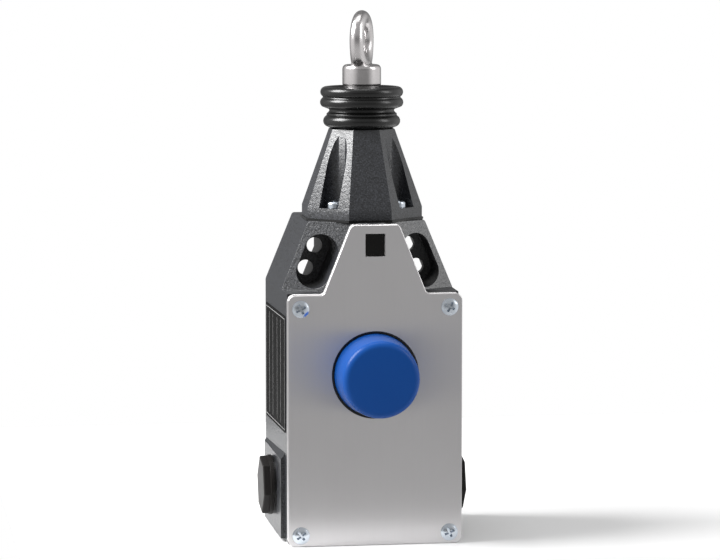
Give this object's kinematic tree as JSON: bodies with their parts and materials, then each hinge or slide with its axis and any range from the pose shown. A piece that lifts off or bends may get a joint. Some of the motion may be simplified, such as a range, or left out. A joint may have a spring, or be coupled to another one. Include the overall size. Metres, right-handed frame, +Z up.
{
  "type": "rope pull switch",
  "caption": "Safety switch worked by a rope: a cast housing with a sprung rope eye, a bellows, a blue reset button and fixing holes in its shoulders.",
  "frame": {"origin": "where the pull rod's axis meets the housing's flat bottom", "axes": "+Z up along the pull rod towards the rope eye, -Y out of the front cover, +X to the right seen from the front"},
  "size_m": [0.0998, 0.1006, 0.2545],
  "materials": {
    "housing_coat": "fine textured dark grey powder coat on a die casting",
    "cover_steel": "satin brushed stainless sheet",
    "zinc_screw": "bright blue zinc plate",
    "bright_steel": "polished stainless steel",
    "plain_steel": "bare machined steel",
    "spring_steel": "bright drawn spring wire",
    "bronze": "plain machined bearing bronze",
    "brass": "plain machined brass",
    "black_rubber": "smooth black rubber with a slight sheen",
    "black_plastic": "black moulded plastic, fine grain",
    "blue_plastic": "smooth blue moulded plastic",
    "ivory_plastic": "ivory moulded insulating plastic",
    "acetal": "natural white moulded acetal",
    "green_mark": "plain green mark",
    "clear_window": "smoke tinted clear window",
    "label_black": "bare black anodised plate"
  },
  "bodies": {
    "housing": {"housing_body": "housing_coat", "cover_plate": "cover_steel", "cover_gasket": "black_rubber", "cover_screws": "zinc_screw", "window_lens": "clear_window", "head_gasket": "black_rubber", "head_casting": "housing_coat", "head_screws": "zinc_screw", "upper_guide_bush": "bronze", "bellows": "black_rubber", "main_spring": "spring_steel", "blanking_plug_right": "black_plastic", "blanking_plug_left": "black_plastic", "plug_seal_right": "black_rubber", "plug_seal_left": "black_rubber", "rating_label": "label_black", "button_guide": "black_plastic", "button_seal": "black_rubber", "button_spring": "spring_steel", "mechanism_frame": "plain_steel", "frame_screws": "zinc_screw", "lower_guide_bush": "bronze", "latch_pin": "plain_steel", "contact_block_right": "ivory_plastic", "contact_block_left": "ivory_plastic", "block_screws": "zinc_screw", "terminal_screws": "brass", "plunger_spring_right": "spring_steel", "plunger_spring_left": "spring_steel", "earth_washer": "brass", "earth_screw": "brass"},
    "pull_rod": {"pull_rod": "plain_steel", "eye_nut": "bright_steel", "eye_washer": "bright_steel", "spring_cup": "plain_steel", "cup_circlip": "spring_steel", "trip_cam": "acetal", "cam_retainers": "spring_steel", "indicator_flag": "black_plastic", "indicator_band": "green_mark", "latch_sleeve": "plain_steel", "rod_end_nut": "plain_steel"},
    "reset_button": {"reset_button_cap": "blue_plastic", "button_stem": "black_plastic", "stem_clip": "spring_steel"},
    "latch_lever": {"latch_lever": "plain_steel"},
    "plunger_right": {"contact_plunger_right": "acetal"},
    "plunger_left": {"contact_plunger_left": "acetal"}
  },
  "joints": [
    {"name": "pull_slide", "type": "slide", "parent": "housing", "child": "pull_rod", "axis": [0, 0, 1], "range_m": [0, 0.012], "stiffness_N_per_m": 6000, "springref_m": -0.004, "deforming": ["main_spring", "bellows"]},
    {"name": "reset_press", "type": "slide", "parent": "housing", "child": "reset_button", "axis": [0, 1, 0], "range_m": [0, 0.006], "stiffness_N_per_m": 900, "springref_m": -0.002, "deforming": ["button_spring"]},
    {"name": "latch_pivot", "type": "hinge", "parent": "housing", "child": "latch_lever", "pos_m": [0, -0.016, 0.0635], "axis": [-1, 0, 0], "range_deg": [0, 20]},
    {"name": "plunger_right_slide", "type": "slide", "parent": "housing", "child": "plunger_right", "axis": [1, 0, 0], "range_m": [0, 0.0031], "deforming": ["plunger_spring_right"]},
    {"name": "plunger_left_slide", "type": "slide", "parent": "housing", "child": "plunger_left", "axis": [-1, 0, 0], "range_m": [0, 0.0031], "deforming": ["plunger_spring_left"]}
  ],
  "couplings": [
    {"joint": "latch_pivot", "follows": "reset_press", "rad_per_m": 53.191},
    {"joint": "plunger_right_slide", "follows": "pull_slide", "ratio": 0.25},
    {"joint": "plunger_left_slide", "follows": "pull_slide", "ratio": 0.25}
  ]
}
